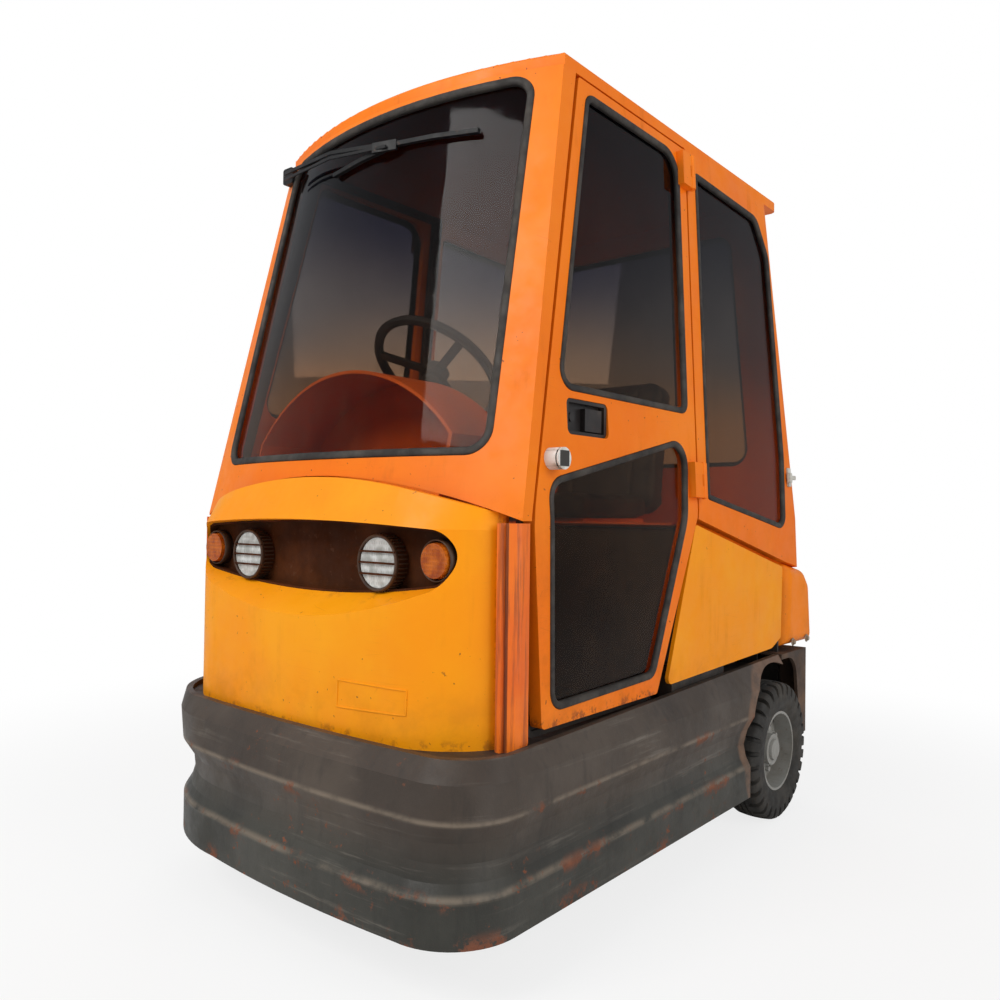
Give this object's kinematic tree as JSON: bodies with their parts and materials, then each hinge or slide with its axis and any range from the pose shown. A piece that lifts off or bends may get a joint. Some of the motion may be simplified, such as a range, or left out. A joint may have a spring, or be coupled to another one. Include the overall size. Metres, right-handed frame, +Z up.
{
  "type": "electric tow tractor",
  "caption": "Compact electric tow tractor with a closed glazed cab, hinged side doors, a heavy bumper skirt, steered front wheels, driven rear wheels and a rear tow coupling.",
  "frame": {"origin": "centre of the bounding box at ground level, under the middle of the vehicle", "axes": "+X to the vehicle's left, -Y forward (nose), +Y to the tow coupling, +Z up"},
  "size_m": [1.205, 1.8598, 1.95],
  "materials": {
    "cab_orange": "semi-gloss orange enamel, weathered",
    "body_yellow": "semi-gloss amber yellow enamel, dusty",
    "skirt_grey": "dark grey enamel with rust at the edges",
    "frame_black": "black chassis enamel, dusty",
    "battery_grey": "grey enamel tray",
    "cast_grey": "rough casting, dark",
    "tinted_glass": "dark tinted safety glass, dusty",
    "lamp_black": "matt black",
    "lamp_glass": "ribbed clear glass",
    "amber_lens": "ribbed amber lens",
    "red_lens": "ribbed red lens",
    "tyre_rubber": "solid rubber, worn and dusty",
    "rim_grey": "light grey enamel, dusty",
    "dash_plastic": "textured black",
    "seat_vinyl": "black grained vinyl",
    "wiper_black": "satin black",
    "fitting_plastic": "black moulding"
  },
  "bodies": {
    "chassis": {"cab_front": "cab_orange", "cab_sides": "cab_orange", "cab_rear": "cab_orange", "roof": "cab_orange", "seat_platform": "cab_orange", "nose_panel": "body_yellow", "side_panels": "body_yellow", "rear_body": "body_yellow", "bumper_skirt": "skirt_grey", "chassis_frame": "frame_black", "door_jambs": "frame_black", "battery_bay": "frame_black", "front_axle": "frame_black", "mudguards": "frame_black", "battery": "battery_grey", "drive_axle": "cast_grey", "tow_coupling": "cast_grey", "windscreen": "tinted_glass", "cab_glass": "tinted_glass", "headlamps": "lamp_black", "headlamp_glass": "lamp_glass", "turn_signals": "amber_lens", "rear_lamps": "red_lens", "dash_column": "dash_plastic", "seat_cushion": "seat_vinyl", "seat_back": "seat_vinyl", "wiper": "wiper_black"},
    "door_left": {"door_left": "cab_orange", "door_glass_left": "tinted_glass", "door_fittings_left": "fitting_plastic"},
    "door_right": {"door_right": "cab_orange", "door_glass_right": "tinted_glass", "door_fittings_right": "fitting_plastic"},
    "knuckle_left": {"knuckle_left": "frame_black"},
    "knuckle_right": {"knuckle_right": "frame_black"},
    "tie_rod": {"tie_rod": "frame_black"},
    "wheel_front_left": {"tyre_front_left": "tyre_rubber", "rim_front_left": "rim_grey"},
    "wheel_front_right": {"tyre_front_right": "tyre_rubber", "rim_front_right": "rim_grey"},
    "wheel_rear_left": {"tyre_rear_left": "tyre_rubber", "rim_rear_left": "rim_grey"},
    "wheel_rear_right": {"tyre_rear_right": "tyre_rubber", "rim_rear_right": "rim_grey"},
    "steering_wheel": {"steering_wheel": "dash_plastic"}
  },
  "joints": [
    {"name": "door_left_hinge", "type": "hinge", "parent": "chassis", "child": "door_left", "pos_m": [0.56535, 0.072, 1.005], "axis": [-0.0663, 0.0309, 0.9973], "range_deg": [0, 160]},
    {"name": "door_right_hinge", "type": "hinge", "parent": "chassis", "child": "door_right", "pos_m": [-0.56535, 0.072, 1.005], "axis": [-0.0663, -0.0309, -0.9973], "range_deg": [0, 160]},
    {"name": "steer_left", "type": "hinge", "parent": "chassis", "child": "knuckle_left", "pos_m": [0.31, -0.5, 0.205], "axis": [0, 0, 1], "range_deg": [-38, 38]},
    {"name": "steer_right", "type": "hinge", "parent": "chassis", "child": "knuckle_right", "pos_m": [-0.31, -0.5, 0.205], "axis": [0, 0, 1], "range_deg": [-38, 38]},
    {"name": "tie_rod_pivot", "type": "hinge", "parent": "knuckle_left", "child": "tie_rod", "pos_m": [0.31, -0.39, 0.2205], "axis": [0, 0, 1], "range_deg": [-38, 38]},
    {"name": "spin_front_left", "type": "hinge", "parent": "knuckle_left", "child": "wheel_front_left", "pos_m": [0.395, -0.5, 0.205], "axis": [1, 0, 0], "continuous": true},
    {"name": "spin_front_right", "type": "hinge", "parent": "knuckle_right", "child": "wheel_front_right", "pos_m": [-0.395, -0.5, 0.205], "axis": [1, 0, 0], "continuous": true},
    {"name": "spin_rear_left", "type": "hinge", "parent": "chassis", "child": "wheel_rear_left", "pos_m": [0.547, 0.53, 0.205], "axis": [1, 0, 0], "continuous": true},
    {"name": "spin_rear_right", "type": "hinge", "parent": "chassis", "child": "wheel_rear_right", "pos_m": [-0.547, 0.53, 0.205], "axis": [1, 0, 0], "continuous": true},
    {"name": "steering_wheel_turn", "type": "hinge", "parent": "chassis", "child": "steering_wheel", "pos_m": [0, -0.36, 1.29], "axis": [0, 0.6428, 0.766], "continuous": true}
  ],
  "couplings": [
    {"joint": "steer_right", "follows": "steer_left", "ratio": 1},
    {"joint": "tie_rod_pivot", "follows": "steer_left", "ratio": -1}
  ]
}
